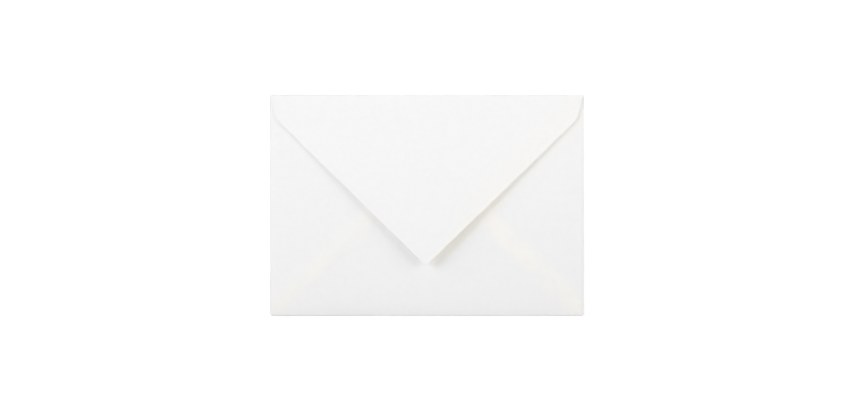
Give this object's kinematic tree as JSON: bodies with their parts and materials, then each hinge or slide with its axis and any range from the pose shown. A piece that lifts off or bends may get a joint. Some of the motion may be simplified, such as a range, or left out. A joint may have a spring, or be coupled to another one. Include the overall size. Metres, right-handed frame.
{
  "type": "paper envelope",
  "caption": "Letter envelope with a deep pointed closure flap, folded from a single sheet of plain white paper and lying on its front.",
  "frame": {"origin": "middle of the front panel's outer face, under the middle of the envelope's width and height", "axes": "+X along the width, +Y towards the top fold that carries the closure flap, +Z out of the back, where the flaps are"},
  "size_m": [0.162, 0.114, 0.0047],
  "materials": {
    "paper": "matte, uncoated"
  },
  "bodies": {
    "root": {"envelope": "paper"}
  },
  "joints": []
}
